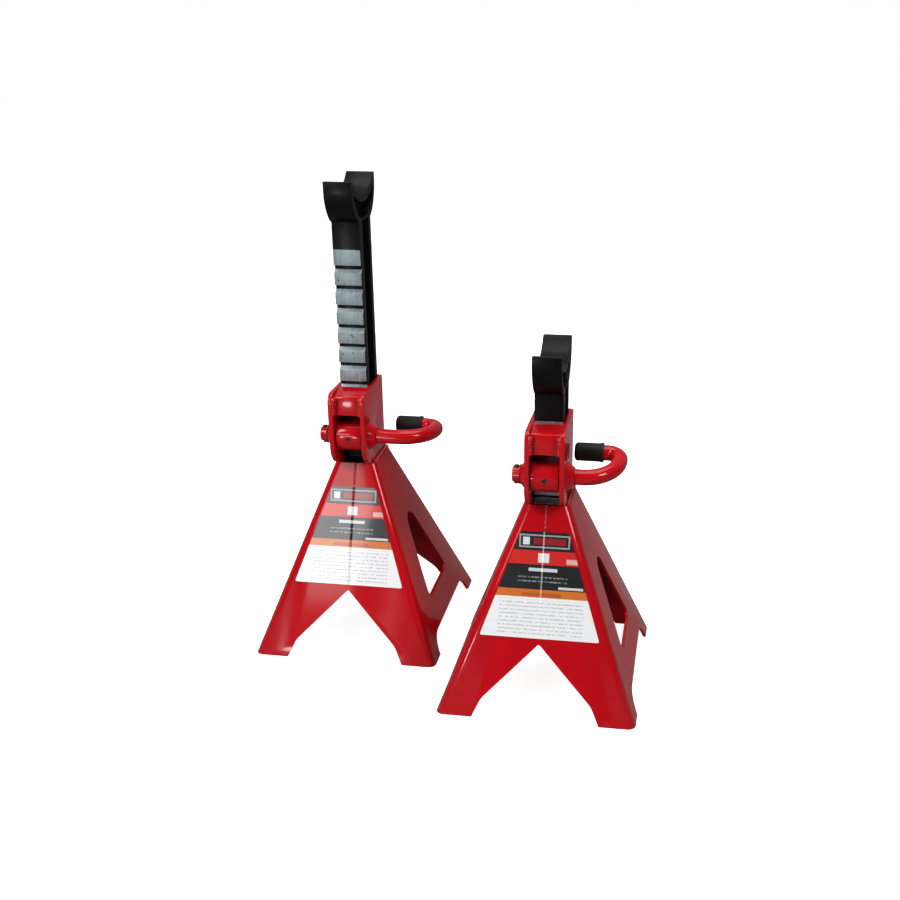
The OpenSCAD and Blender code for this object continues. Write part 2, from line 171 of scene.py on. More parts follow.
def turned_pin(name, start, end, radius):
    """A round pin from one point to another."""
    turn = Z.rotation_difference(end - start).to_euler()
    leave_all()
    bpy.ops.mesh.primitive_cylinder_add(
        vertices=PIN_SIDES, radius=radius, depth=(end - start).length,
        location=(start + end) / 2, rotation=turn)
    return settled(name)


def round_end(name, place, turn, radius):
    """The flat round end that a bar is drawn out from."""
    leave_all()
    bpy.ops.mesh.primitive_circle_add(
        vertices=BAR_SIDES, radius=radius, fill_type="NGON", location=place, rotation=(0, turn, 0))
    return settled(name)


def open_edit(piece):
    """Opens one piece for editing with nothing selected."""
    pick(piece)
    bpy.ops.object.mode_set(mode="EDIT")
    bpy.ops.mesh.select_all(action="DESELECT")


def close_edit():
    """Goes back from editing a mesh to handling whole pieces."""
    bpy.ops.object.mode_set(mode="OBJECT")


def pick_faces(piece, test):
    """Selects the faces whose middle and normal pass the test."""
    bpy.ops.mesh.select_mode(type="FACE")
    bpy.ops.mesh.select_all(action="DESELECT")
    mesh = bmesh.from_edit_mesh(piece.data)
    for face in mesh.faces:
        face.select_set(bool(test(face.calc_center_median(), face.normal)))
    bmesh.update_edit_mesh(piece.data)


def pick_edges(piece, test):
    """Selects the edges whose middle and direction pass the test."""
    bpy.ops.mesh.select_mode(type="EDGE")
    bpy.ops.mesh.select_all(action="DESELECT")
    mesh = bmesh.from_edit_mesh(piece.data)
    for edge in mesh.edges:
        a, b = (corner.co for corner in edge.verts)
        edge.select_set(bool(test((a + b) / 2, (b - a).normalized())))
    bmesh.update_edit_mesh(piece.data)


def scale_picked(factors, middle):
    """Scales what is selected about a point."""
    bpy.ops.transform.resize(value=factors, center_override=middle)


def pull_picked(offset):
    """Extrudes the selected faces by an offset."""
    bpy.ops.mesh.extrude_region_move(TRANSFORM_OT_translate={"value": Vector(offset)})


def modify(piece, kind, **settings):
    """Adds one modifier and applies it."""
    modifier = piece.modifiers.new(kind.lower(), kind)
    for name, value in settings.items():
        setattr(modifier, name, value)
    pick(piece)
    bpy.ops.object.modifier_apply(modifier=modifier.name)


def cut(piece, *cutters):
    """Takes cutters out of a piece and throws them away."""
    for cutter in cutters:
        modify(piece, "BOOLEAN", operation="DIFFERENCE", solver="EXACT", object=cutter)
        bpy.data.objects.remove(cutter)


def joined(name, pieces):
    """Makes several pieces one."""
    leave_all()
    for piece in pieces:
        piece.select_set(True)
    bpy.context.view_layer.objects.active = pieces[0]
    bpy.ops.object.join()
    pieces[0].name = pieces[0].data.name = name
    return pieces[0]


def smooth(piece, angle=CREASE):
    """Shades a piece smooth, apart from the edges that are sharper than the angle."""
    pick(piece)
    bpy.ops.object.shade_smooth_by_angle(angle=angle)


def soften(piece, radius, segments=3):
    """Rounds a piece's sharp edges."""
    modify(piece, "BEVEL", width=radius, segments=segments, limit_method="ANGLE", angle_limit=CREASE)
    smooth(piece)


def blank_from(node, name):
    """A copy of a CAD node with its loose triangles merged and its flat faces made whole."""
    piece = bpy.data.objects.new(name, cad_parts[node].data.copy())
    piece.data.name = name
    piece.data.materials.clear()
    bpy.context.scene.collection.objects.link(piece)
    open_edit(piece)
    bpy.ops.mesh.select_all(action="SELECT")
    bpy.ops.mesh.customdata_custom_splitnormals_clear()
    bpy.ops.mesh.remove_doubles(threshold=0.002 * MM)
    bpy.ops.mesh.dissolve_limited(angle_limit=math.radians(1.5))
    close_edit()
    return piece


def fit(piece, body, slot, finishes, *nodes):
    """Gives a finished piece its body, its finishes and the CAD nodes that it stands for. The slot argument
    is not used.
    """
    for finish in finishes:
        piece.data.materials.append(finish)
    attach(piece, body)
    if nodes:
        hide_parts(*nodes)


# ---------------------------------------------------------------- finishes


def add(tree, kind, inputs=None, **settings):
    """One shader node. inputs maps a socket to a value or to another node's output."""
    made = tree.nodes.new("ShaderNode" + kind)
    for name, value in settings.items():
        setattr(made, name, value)
    for key, value in (inputs or {}).items():
        if isinstance(value, bpy.types.NodeSocket):
            tree.links.new(value, made.inputs[key])
        else:
            made.inputs[key].default_value = value
    return made


def calc(tree, operation, *values):
    """The result of one sum on values or on other nodes' outputs."""
    return add(tree, "Math", dict(enumerate(values)), operation=operation).outputs[0]


def effect(name, inputs, outputs):
    """An empty node group with named inputs (kind, value) and named outputs (kind)."""
    tree = bpy.data.node_groups.new(name, "ShaderNodeTree")
    for label, (kind, value) in inputs.items():
        socket = tree.interface.new_socket(label, in_out="INPUT", socket_type="NodeSocket" + kind)
        socket.default_value = value
    for label, kind in outputs.items():
        tree.interface.new_socket(label, in_out="OUTPUT", socket_type="NodeSocket" + kind)
    return tree, tree.nodes.new("NodeGroupInput").outputs, tree.nodes.new("NodeGroupOutput").inputs


def ramp(tree, value, low, high):
    """0 below low, 1 above high, and smooth between them."""
    return add(tree, "MapRange", {"Value": value, "From Min": low, "From Max": high},
               interpolation_type="SMOOTHSTEP").outputs["Result"]


def blend_colour(tree, mask, under, over):
    """One colour where the mask is 0 and another where it is 1."""
    return add(tree, "Mix", {"Factor": mask, "A": under, "B": over}, data_type="RGBA").outputs["Result"]


def make_enamel_effect():
    """Sprayed enamel: a little colour drift, orange peel, dust specks and uneven gloss."""
    tree, given, out = effect(
        "sprayed_enamel",
        {"Colour": ("Color", (0.5, 0.02, 0.03, 1)), "Shade": ("Color", (0.3, 0.01, 0.02, 1)),
         "Peel": ("Float", 1.0), "Gloss": ("Float", 0.25)},
        {"Colour": "Color", "Roughness": "Float", "Height": "Float"})
    place = add(tree, "TexCoord").outputs["Object"]
    drift = add(tree, "TexNoise", {"Vector": place, "Scale": 14, "Detail": 3, "Roughness": 0.6})
    peel = add(tree, "TexNoise", {"Vector": place, "Scale": 420, "Detail": 1.5}).outputs["Fac"]
    flow = add(tree, "TexNoise", {"Vector": place, "Scale": 60, "Detail": 2}).outputs["Fac"]
    specks = add(tree, "TexVoronoi", {"Vector": place, "Scale": 260}).outputs["Distance"]
    speck = calc(tree, "SUBTRACT", 1.0, ramp(tree, specks, 0.03, 0.12))
    shaded = ramp(tree, drift.outputs["Fac"], 0.35, 0.9)
    tree.links.new(blend_colour(tree, shaded, given["Colour"], given["Shade"]), out["Colour"])
    uneven = calc(tree, "MULTIPLY_ADD", flow, 0.05, given["Gloss"])
    rough = calc(tree, "MULTIPLY_ADD", speck, 0.12, uneven)
    tree.links.new(rough, out["Roughness"])
    skin = calc(tree, "MULTIPLY_ADD", flow, 0.7, peel)
    bumps = calc(tree, "MULTIPLY_ADD", speck, 0.5, skin)
    height = calc(tree, "MULTIPLY", bumps, given["Peel"])
    tree.links.new(height, out["Height"])
    return tree


def make_scuff_effect():
    """Worn patches: scattered thin scratches and rubbed spots, more of them towards the floor."""
    tree, given, out = effect(
        "scuffs", {"Amount": ("Float", 0.3), "Floor": ("Float", 0.5), "Size": ("Float", 90.0)},
        {"Mask": "Float"})
    place = add(tree, "TexCoord").outputs["Object"]
    high = add(tree, "SeparateXYZ", {0: place}).outputs["Z"]
    low = calc(tree, "SUBTRACT", 1.0, ramp(tree, high, 0.5 * MM, 5 * MM))
    near_floor = calc(tree, "MULTIPLY", low, given["Floor"])
    patches = add(tree, "TexNoise", {"Vector": place, "Scale": given["Size"], "Detail": 6, "Roughness": 0.7})
    bias = calc(tree, "MULTIPLY_ADD", near_floor, 0.5, patches.outputs["Fac"])
    rubbed = calc(tree, "MULTIPLY_ADD", given["Amount"], 0.22, bias)
    tree.links.new(ramp(tree, rubbed, 0.78, 0.86), out["Mask"])
    return tree


def make_casting_effect():
    """Sand-cast skin under paint: coarse lumps, fine grain and small pits."""
    tree, given, out = effect(
        "cast_skin", {"Grain": ("Float", 500.0), "Gloss": ("Float", 0.4)},
        {"Height": "Float", "Roughness": "Float"})
    place = add(tree, "TexCoord").outputs["Object"]
    grain = add(tree, "TexNoise", {"Vector": place, "Scale": given["Grain"], "Detail": 4, "Roughness": 0.65})
    lumps = add(tree, "TexNoise", {"Vector": place, "Scale": 110, "Detail": 2}).outputs["Fac"]
    pits = add(tree, "TexVoronoi", {"Vector": place, "Scale": 330}).outputs["Distance"]
    pitted = calc(tree, "MULTIPLY_ADD", ramp(tree, pits, 0.05, 0.3), 0.5, grain.outputs["Fac"])
    height = calc(tree, "MULTIPLY_ADD", lumps, 1.8, pitted)
    tree.links.new(height, out["Height"])
    rough = calc(tree, "MULTIPLY_ADD", lumps, 0.3, given["Gloss"])
    tree.links.new(rough, out["Roughness"])
    return tree


def make_drag_effect():
    """Fine marks dragged in one direction, as on ground or plated steel."""
    tree, given, out = effect(
        "drag_marks", {"Stretch": ("Vector", (400.0, 400.0, 30.0)), "Depth": ("Float", 0.5)},
        {"Mask": "Float", "Height": "Float"})
    place = add(tree, "TexCoord").outputs["Object"]
    drawn = add(tree, "VectorMath", {0: place, 1: given["Stretch"]}, operation="MULTIPLY").outputs[0]
    noise = add(tree, "TexNoise", {"Vector": drawn, "Scale": 1, "Detail": 5, "Roughness": 0.7})
    marks = noise.outputs["Fac"]
    tree.links.new(ramp(tree, marks, 0.35, 0.7), out["Mask"])
    height = calc(tree, "MULTIPLY", marks, given["Depth"])
    tree.links.new(height, out["Height"])
    return tree


def use(tree, group, **inputs):
    """Places an effect in a material with its own values."""
    made = tree.nodes.new("ShaderNodeGroup")
    made.node_tree = group
    for name, value in inputs.items():
        made.inputs[name.replace("_", " ")].default_value = value
    return made.outputs


def finish_named(name, **sockets):
    """A material with plain values on its shader. Returns it, its tree and the shader."""
    material = bpy.data.materials.new(name)
    material.use_nodes = True
    shader = material.node_tree.nodes["Principled BSDF"]
    for key, value in sockets.items():
        shader.inputs[key.replace("_", " ")].default_value = value
    return material, material.node_tree, shader


def bump(tree, shader, height, strength, distance):
    """Roughens a shader's surface by a height."""
    made = add(tree, "Bump", {"Height": height, "Strength": strength, "Distance": distance})
    tree.links.new(made.outputs["Normal"], shader.inputs["Normal"])


def red_enamel(enamel, scuffs):
    """Sprayed red paint, chipped a little along the floor."""
    material, tree, shader = finish_named(
        "red_enamel", Coat_Weight=0.2, Coat_Roughness=0.08, IOR=1.4, Specular_IOR_Level=0.3)
    coat = use(tree, enamel, Peel=1.0, Gloss=0.11,
               Colour=(0.50, 0.005, 0.010, 1), Shade=(0.43, 0.003, 0.008, 1))
    worn = use(tree, scuffs, Amount=0.15, Floor=0.4, Size=120.0)["Mask"]
    chipped = blend_colour(tree, worn, coat["Colour"], (0.12, 0.10, 0.10, 1))
    tree.links.new(chipped, shader.inputs["Base Color"])
    tree.links.new(coat["Roughness"], shader.inputs["Roughness"])
    bump(tree, shader, coat["Height"], 0.12, 0.03 * MM)
    return material


def weld_enamel(enamel):
    """The same paint, thicker and rougher over the welds."""
    material, tree, shader = finish_named(
        "weld_enamel", Coat_Weight=0.4, Coat_Roughness=0.1, Specular_IOR_Level=0.4)
    coat = use(tree, enamel, Peel=2.5, Gloss=0.28,
               Colour=(0.46, 0.006, 0.012, 1), Shade=(0.30, 0.004, 0.008, 1))
    tree.links.new(coat["Colour"], shader.inputs["Base Color"])
    tree.links.new(coat["Roughness"], shader.inputs["Roughness"])
    bump(tree, shader, coat["Height"], 0.5, 0.08 * MM)
    return material


def black_casting(casting, scuffs):
    """Black paint on the grainy casting, rubbed grey in places."""
    material, tree, shader = finish_named(
        "black_casting", Coat_Weight=0.04, Coat_Roughness=0.2, Specular_IOR_Level=0.1)
    skin = use(tree, casting, Grain=520.0, Gloss=0.24)
    rubbed = use(tree, scuffs, Amount=0.35, Floor=0.0, Size=70.0)["Mask"]
    tree.links.new(blend_colour(tree, rubbed, (0.003, 0.003, 0.0033, 1), (0.03, 0.03, 0.031, 1)),
                   shader.inputs["Base Color"])
    tree.links.new(skin["Roughness"], shader.inputs["Roughness"])
    bump(tree, shader, skin["Height"], 0.35, 0.12 * MM)
    return material


def tooth_face(drag, scuffs):
    """Crests of the teeth, where the pawl has rubbed the casting bright."""
    material, tree, shader = finish_named("tooth_face")
    marks = use(tree, drag, Stretch=(900.0, 900.0, 60.0), Depth=0.6)
    stain = use(tree, scuffs, Amount=0.9, Floor=0.0, Size=160.0)["Mask"]
    bright = blend_colour(tree, marks["Mask"], (0.22, 0.27, 0.29, 1), (0.36, 0.43, 0.46, 1))
    tree.links.new(blend_colour(tree, stain, bright, (0.07, 0.08, 0.085, 1)), shader.inputs["Base Color"])
    metal = calc(tree, "MULTIPLY_ADD", stain, -0.3, 0.6)
    tree.links.new(metal, shader.inputs["Metallic"])
    rough = calc(tree, "MULTIPLY_ADD", marks["Mask"], 0.16, 0.38)
    tree.links.new(rough, shader.inputs["Roughness"])
    bump(tree, shader, marks["Height"], 0.4, 0.08 * MM)
    return material


def oiled_steel(drag):
    """Dark oiled steel with fine turning marks."""
    material, tree, shader = finish_named("oiled_steel", Metallic=0.7)
    marks = use(tree, drag, Stretch=(300.0, 700.0, 700.0), Depth=0.5)
    tree.links.new(blend_colour(tree, marks["Mask"], (0.045, 0.03, 0.028, 1), (0.11, 0.08, 0.07, 1)),
                   shader.inputs["Base Color"])
    rough = calc(tree, "MULTIPLY_ADD", marks["Mask"], 0.2, 0.26)
    tree.links.new(rough, shader.inputs["Roughness"])
    bump(tree, shader, marks["Height"], 0.3, 0.05 * MM)
    return material


def dipped_rubber(casting):
    """Matt black rubber with a fine grain."""
    material, tree, shader = finish_named("dipped_rubber", Specular_IOR_Level=0.22)
    skin = use(tree, casting, Grain=900.0, Gloss=0.36)
    tint = add(tree, "ValToRGB", {"Fac": skin["Height"]})
    tint.color_ramp.elements[0].color = (0.003, 0.003, 0.003, 1)
    tint.color_ramp.elements[1].color = (0.009, 0.009, 0.0095, 1)
    tree.links.new(tint.outputs["Color"], shader.inputs["Base Color"])
    tree.links.new(skin["Roughness"], shader.inputs["Roughness"])
    bump(tree, shader, skin["Height"], 0.2, 0.06 * MM)
    return material


# The label's colour bands from the bottom up: where each starts and its colour.
INK = (0.012, 0.013, 0.015, 1)
BANDS = [
    (59.0 * MM, (0.86, 0.87, 0.88, 1)),
    (88.1 * MM, (0.62, 0.16, 0.02, 1)),
    (93.8 * MM, INK),
    (111.4 * MM, (0.62, 0.02, 0.015, 1)),
    (121.3 * MM, INK),
]
# Plain printed blocks: half width, bottom, top, offset from the middle (in millimetres), colour.
BLOCKS = [
    (19.5, 123.2, 132.6, 0, (0.34, 0.36, 0.37, 1)),
    (18.3, 124.3, 131.5, 0, INK),
    (12.5, 125.6, 130.2, 4.0, (0.30, 0.012, 0.02, 1)),
    (2.6, 125.2, 130.6, -14.0, (0.75, 0.76, 0.78, 1)),
    (4.2, 113.0, 119.6, 0, (0.78, 0.78, 0.78, 1)),
    (4.4, 112.6, 116.2, 22, (0.70, 0.42, 0.38, 1)),
    (11.0, 106.6, 109.0, 0, (0.62, 0.64, 0.65, 1)),
    (9.5, 94.6, 96.4, 22, (0.62, 0.62, 0.60, 1)),
    (15.0, 89.0, 91.4, 0, (0.45, 0.09, 0.03, 1)),
]
# Rows of thin broken rules: bottom, top, distance between rows, half width (in millimetres), colour.
RULES = [
    (98.6, 104.6, 3.0, 19.0, (0.28, 0.29, 0.30, 1)),
    (62.0, 86.6, 2.7, 33.0, (0.50, 0.51, 0.54, 1)),
]
RULE_SHARE = 0.32           # thickness of a rule, as a share of the distance between rows


def both(tree, a, b):
    """1 where two masks are both 1."""
    return calc(tree, "MULTIPLY", a, b)


def inside(tree, value, low, high):
    """1 where the value lies between low and high."""
    return both(tree, calc(tree, "GREATER_THAN", value, low), calc(tree, "LESS_THAN", value, high))


def printed_film(stand, scuffs):
    """Label film: bands, blocks and broken rules that only stand for print."""
    material, tree, shader = finish_named(node(stand, "label_film"), Coat_Weight=0.9, Coat_Roughness=0.06)
    object_place = add(tree, "TexCoord").outputs["Object"]
    mapping = add(tree, "Mapping", {"Vector": object_place, "Location": (-stand.middle.x, 0, 0)})
    place = mapping.outputs["Vector"]
    across, _, up = add(tree, "SeparateXYZ", {0: place}).outputs
    colour = BANDS[0][1]
    for start, tone in BANDS[1:]:
        band = calc(tree, "GREATER_THAN", up, start)
        colour = blend_colour(tree, band, colour, tone)
    for half, low, high, offset, tone in BLOCKS:
        wide = inside(tree, across, (offset - half) * MM, (offset + half) * MM)
        tall = inside(tree, up, low * MM, high * MM)
        colour = blend_colour(tree, both(tree, wide, tall), colour, tone)
    words = add(tree, "TexNoise", {"Vector": place, "Scale": 700, "Detail": 1}).outputs["Fac"]
    word = ramp(tree, words, 0.42, 0.5)
    for low, high, step, half, tone in RULES:
        lines = calc(tree, "FLOORED_MODULO", up, step * MM)
        line = calc(tree, "LESS_THAN", lines, RULE_SHARE * step * MM)
        tall = inside(tree, up, low * MM, high * MM)
        wide = inside(tree, across, -half * MM, half * MM)
        printed = both(tree, both(tree, line, word), both(tree, tall, wide))
        colour = blend_colour(tree, printed, colour, tone)
    rubbed = use(tree, scuffs, Amount=0.2, Floor=0.0, Size=200.0)["Mask"]
    tree.links.new(blend_colour(tree, rubbed, colour, (0.55, 0.55, 0.55, 1)), shader.inputs["Base Color"])
    sheen = add(tree, "TexNoise", {"Vector": object_place, "Scale": 90, "Detail": 3}).outputs["Fac"]
    rough = calc(tree, "MULTIPLY_ADD", sheen, 0.15, 0.22)
    tree.links.new(rough, shader.inputs["Roughness"])
    bump(tree, shader, sheen, 0.15, 0.1 * MM)
    return material


def make_finishes():
    """Every finish that both stands share, each effect built once."""
    enamel, scuffs, casting, drag = (
        make_enamel_effect(), make_scuff_effect(), make_casting_effect(), make_drag_effect())
    return SimpleNamespace(
        red=red_enamel(enamel, scuffs), weld=weld_enamel(enamel),
        black=black_casting(casting, scuffs), tooth=tooth_face(drag, scuffs),
        steel=oiled_steel(drag), rubber=dipped_rubber(casting), scuffs=scuffs)


# ---------------------------------------------------------------- one stand


def measure(side):
    """The stand's places and main sizes, read from the frame."""
    near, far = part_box(side + "_base_near"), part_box(side + "_base_far")
    low, high = far[0], near[1]
    cap, tower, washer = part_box(side + "_cap_plate"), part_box(side + "_tower"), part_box(side + "_washer")
    middle = Vector(((low.x + high.x) / 2, (low.y + high.y) / 2, 0))
    half_tower = (cap[1].x - cap[0].x) / 2 + CHEEK
    back = tower[1].y - middle.y
    return SimpleNamespace(
        side=side, middle=middle, half_w=high.x - middle.x, half_d=high.y - middle.y, base_h=high.z,
        half_tower=half_tower, tower_back=back, half_mouth_w=half_tower + MOUTH_GAP + PLATE,
        half_mouth_d=back + MOUTH_GAP + PLATE,
        pivot=Vector((middle.x, (washer[0].y + washer[1].y) / 2, (washer[0].z + washer[1].z) / 2)))


def node(stand, part):
    """The name of a part on this stand."""
    return f"{stand.side}_{part}"


def face_out(stand, height):
    """Distance from the middle to the front face at a height."""
    return stand.half_d + (stand.half_mouth_d - stand.half_d) * height / stand.base_h


def tapered_block(stand, name, inset, spare):
    """The pyramid that the base is pressed to, its upright edges rounded. spare lengthens both ends."""
    slope = Vector((stand.half_mouth_w - stand.half_w, stand.half_mouth_d - stand.half_d, 0)) / stand.base_h
    foot = Vector((stand.half_w - inset, stand.half_d - inset, 0)) - slope * spare
    top = Vector((stand.half_mouth_w - inset, stand.half_mouth_d - inset, 0)) + slope * spare
    high = Z * (stand.base_h + spare)
    piece = block(name, stand.middle - foot - Z * spare, stand.middle + foot + high)
    open_edit(piece)
    pick_faces(piece, lambda at, normal: normal.z > ALONG)
    scale_picked((top.x / foot.x, top.y / foot.y, 1), stand.middle + high)
    pick_edges(piece, lambda at, way: abs(way.z) > 0.5)
    bpy.ops.mesh.bevel(offset=BEND - inset, segments=10, offset_type="OFFSET")
    close_edit()
    return piece


def notch_cutter(stand):
    """Cuts the notch between the feet through the front and the rear plate."""
    wide = stand.half_w - FOOT
    turn = wide - FOOT_FLARE
    deep = stand.half_d + CUT_PAST
    below = 3 * MM
    piece = block("notch", stand.middle - Vector((wide, deep, 0)),
                  stand.middle + Vector((wide, deep, FOOT_HIGH)))
    open_edit(piece)
    pick_faces(piece, lambda at, normal: normal.z > ALONG)
    scale_picked((turn / wide, 1, 1), stand.middle + Z * FOOT_HIGH)
    pull_picked(Z * (NOTCH_TOP - NOTCH_TIP - FOOT_HIGH))
    scale_picked((NOTCH_TIP / turn, 1, 1), stand.middle + Z * NOTCH_TOP)
    pick_faces(piece, lambda at, normal: normal.z < -ALONG)
    pull_picked(-Z * below)
    pick_edges(piece, lambda at, way: at.z > NOTCH_TOP - MM and abs(way.y) > ALONG)
    bpy.ops.mesh.bevel(offset=NOTCH_TIP * 0.9, segments=3, offset_type="OFFSET")
    pick_edges(piece, lambda at, way: abs(at.z - FOOT_HIGH) < MM / 2 and abs(way.y) > ALONG)
    bpy.ops.mesh.bevel(offset=NOTCH_BEND, segments=4, offset_type="OFFSET")
    close_edit()
    return piece


def window_cutter(stand):
    """Cuts the rounded triangle through both side plates."""
    wide = stand.half_w + CUT_PAST
    low, high = WINDOW
    foot, top = WINDOW_HALF
    piece = block("window", stand.middle + Vector((-wide, -foot, low)),
                  stand.middle + Vector((wide, foot, high)))
    open_edit(piece)
    pick_faces(piece, lambda at, normal: normal.z > ALONG)
    scale_picked((1, top / foot, 1), stand.middle + Z * high)
    pick_edges(piece, lambda at, way: at.z < low + MM and abs(way.x) > ALONG)
    bpy.ops.mesh.bevel(offset=WINDOW_BEND, segments=8, offset_type="OFFSET")
    pick_edges(piece, lambda at, way: at.z > high - MM and abs(way.x) > ALONG)
    bpy.ops.mesh.bevel(offset=top * 0.98, segments=10, offset_type="OFFSET")
    close_edit()
    return piece


def gap_cutter(stand):
    """Cuts the shallow arch under both side plates."""
    wide = stand.half_w + CUT_PAST
    piece = block("gap", stand.middle + Vector((-wide, -GAP_HALF, -CUT_BELOW)),
                  stand.middle + Vector((wide, GAP_HALF, GAP_HIGH)))
    open_edit(piece)
    pick_edges(piece, lambda at, way: at.z > 0 and abs(way.x) > ALONG)
    bpy.ops.mesh.bevel(offset=GAP_HIGH + CUT_BELOW * 0.7, segments=12, offset_type="OFFSET")
    close_edit()
    return piece


def make_base(stand, finishes):
    """The pressed four-legged base, its sheared edges slightly rounded."""
    shell = tapered_block(stand, node(stand, "pressed_base"), 0, 0)
    hollow = tapered_block(stand, "hollow", PLATE, CUT_PAST / 2)
    cut(shell, hollow, notch_cutter(stand), window_cutter(stand), gap_cutter(stand))
    soften(shell, SHEARED, 2)
    fit(shell, node(stand, "stand"), "red_paint", [finishes.red],
        node(stand, "base_near"), node(stand, "base_far"))


def weld_bead(name, path, sizes, seed):
    """A row of overlapping puddles along a path of points, fused into one bead."""
    width, height, step = sizes
    draw = random.Random(seed)
    puddles = []
    for start, end in zip(path, path[1:]):
        way = end - start
        count = max(2, round(way.length / step))
        for i in range(count + 1):
            size = 1 + draw.uniform(-0.1, 0.1)
            at = start + way * (i / count) + Z * draw.uniform(-0.1, 0.1) * MM
            leave_all()
            bpy.ops.mesh.primitive_uv_sphere_add(
                segments=14, ring_count=8, radius=1, location=at,
                scale=(width / 2 * size, height * size, step * 0.9))
            puddles.append(settled(f"{name}_{len(puddles)}"))
    bead = joined(name, puddles)
    modify(bead, "REMESH", mode="VOXEL", voxel_size=min(width, height) / 5)
    modify(bead, "SMOOTH", factor=0.5, iterations=2)
    smooth(bead, BEAD_CREASE)
    return bead


def make_seams(stand, finishes):
    """The ground weld that joins the two halves, front and rear."""
    for part, sign, below in (("front_seam", -1, LABEL_Z[1]), ("rear_seam", 1, NOTCH_TOP)):
        ends = (below + 2 * MM, stand.base_h - MM)
        path = [stand.middle + Vector((0, sign * (face_out(stand, z) - SEAM_SUNK), z)) for z in ends]
        bead = weld_bead(node(stand, part + "_bead"), path, SEAM_BEAD, 3)
        fit(bead, node(stand, "stand"), "red_paint", [finishes.weld], node(stand, part))


def make_cap_welds(stand, finishes):
    """The bead down each side of the cap plate."""
    cap_low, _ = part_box(node(stand, "cap_plate"))
    out = stand.half_tower - CHEEK - 0.5 * MM
    ends = (cap_low.z + 1.8 * MM, cap_low.z + 13 * MM)
    beads = []
    for sign in (-1, 1):
        path = [Vector((stand.middle.x + sign * out, cap_low.y - 1.2 * MM, z)) for z in ends]
        beads.append(weld_bead(f"cap_bead_{sign + 1}", path, CAP_BEAD, 5 + sign))
    fit(joined(node(stand, "cap_plate_welds"), beads), node(stand, "stand"), "red_paint",
        [finishes.weld], node(stand, "cap_welds"))


def make_foot_weld(stand, finishes):
    """The bead along the sides and the back of the tower's foot."""
    out, corner = 1.1 * MM, 3 * MM
    side, back, front = stand.half_tower + out, stand.tower_back + out, MM - stand.tower_back
    around = [(-side, front), (-side, back - corner), (-side + corner, back),
              (side - corner, back), (side, back - corner), (side, front)]
    path = [stand.middle + Vector((x, y, stand.base_h + 0.6 * MM)) for x, y in around]
    bead = weld_bead(node(stand, "foot_weld"), path, FOOT_BEAD, 8)
    fit(bead, node(stand, "stand"), "red_paint", [finishes.weld], node(stand, "foot_welds"))


def make_label(stand, finishes):
    """The film on the front plate, its corners rounded and a ridge down its middle over the seam."""
    low, high = LABEL_Z
    cad_low, cad_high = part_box(node(stand, "label"))
    lean = math.atan2(stand.half_d - stand.half_mouth_d, stand.base_h)
    length = (high - low) / math.cos(lean)
    half = (cad_high.x - cad_low.x) / 2
    narrowing = (stand.half_w - stand.half_mouth_w) * (high - low) / stand.base_h - LABEL_MARGIN
    middle = stand.middle + Vector((0, -face_out(stand, (low + high) / 2), (low + high) / 2))
    lift = Vector((0, -math.cos(lean), math.sin(lean))) * LABEL_OUT
    leave_all()
    bpy.ops.mesh.primitive_plane_add(size=1, location=middle + lift, rotation=(math.pi / 2 - lean, 0, 0))
    bpy.context.object.scale = (2 * half, length, 1)
    film = settled(node(stand, "label_film"))
    open_edit(film)
    pick_edges(film, lambda at, way: at.z > middle.z and abs(way.x) > ALONG)
    scale_picked(((half - narrowing) / half, 1, 1), stand.middle + Z * high)
    bpy.ops.mesh.select_mode(type="VERT")
    bpy.ops.mesh.select_all(action="SELECT")
    bpy.ops.mesh.bevel(offset=LABEL_CORNER, segments=5, affect="VERTICES")
    for offset in (-RIDGE, 0, RIDGE):
        bpy.ops.mesh.select_all(action="SELECT")
        bpy.ops.mesh.bisect(plane_co=stand.middle + X * offset, plane_no=X)
    pick_edges(film, lambda at, way: abs(at.x - stand.middle.x) < CLOSE)
    bpy.ops.transform.translate(value=lift * RIDGE_RISE)
    close_edit()
    modify(film, "SOLIDIFY", thickness=FILM, offset=-1)
    smooth(film, FILM_CREASE)
    printed = printed_film(stand, finishes.scuffs)
    fit(film, node(stand, "stand"), "label", [printed], node(stand, "label"))


def make_tower(stand, finishes):
    """The bent tower with its drawn collars, and the cap plate."""
    tower = blank_from(node(stand, "tower"), node(stand, "bent_tower"))
    soften(tower, BENT)
    fit(tower, node(stand, "stand"), "red_paint", [finishes.red], node(stand, "tower"))
    cap = blank_from(node(stand, "cap_plate"), node(stand, "bent_cap_plate"))
    open_edit(cap)
    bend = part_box(node(stand, "cap_plate"))[0].y + CAP_LEAN
    pick_edges(cap, lambda at, way: abs(way.x) > ALONG and abs(at.y - bend) < 3 * CLOSE)
    bpy.ops.mesh.bevel(offset=2 * MM, segments=5, offset_type="OFFSET")
    close_edit()
    soften(cap, SHEARED)
    fit(cap, node(stand, "stand"), "red_paint", [finishes.red], node(stand, "cap_plate"))


